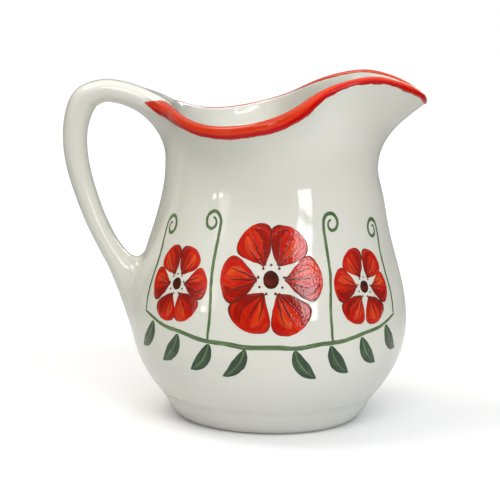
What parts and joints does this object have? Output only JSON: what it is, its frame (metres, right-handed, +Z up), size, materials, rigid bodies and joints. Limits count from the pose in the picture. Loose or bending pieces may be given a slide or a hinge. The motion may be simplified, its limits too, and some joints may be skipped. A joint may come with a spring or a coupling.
{
  "type": "ceramic pitcher",
  "caption": "Small glazed pitcher with a round belly, low foot, drawn-in neck, dipped rim with a pulled spout, and a loop handle, for holding and pouring drinks.",
  "frame": {"origin": "centre of the flat face that the foot ring stands on, on the belly's axis", "axes": "+Z up along the belly's axis, +X towards the spout, -X towards the handle, -Y towards the painted side"},
  "size_m": [0.1499, 0.1155, 0.1439],
  "materials": {
    "glazed_body": "glossy cream glaze",
    "foot_clay": "glazed outside, matt bearing face",
    "glazed_handle": "glossy cream glaze",
    "slip": "glossy cream glaze",
    "band_paint": "orange-red underglaze, glossy",
    "petal_paint": "red underglaze, glossy",
    "centre_paint": "dark red-brown underglaze, glossy",
    "leaf_paint": "dark green underglaze, glossy",
    "stem_paint": "mid green underglaze, glossy"
  },
  "bodies": {
    "root": {"body": "glazed_body", "foot_ring": "foot_clay", "handle": "glazed_handle", "upper_slip_joint": "slip", "lower_slip_joint": "slip", "rim_band": "band_paint", "painted_petals": "petal_paint", "painted_centres": "centre_paint", "painted_leaves": "leaf_paint", "painted_stems": "stem_paint"}
  },
  "joints": []
}
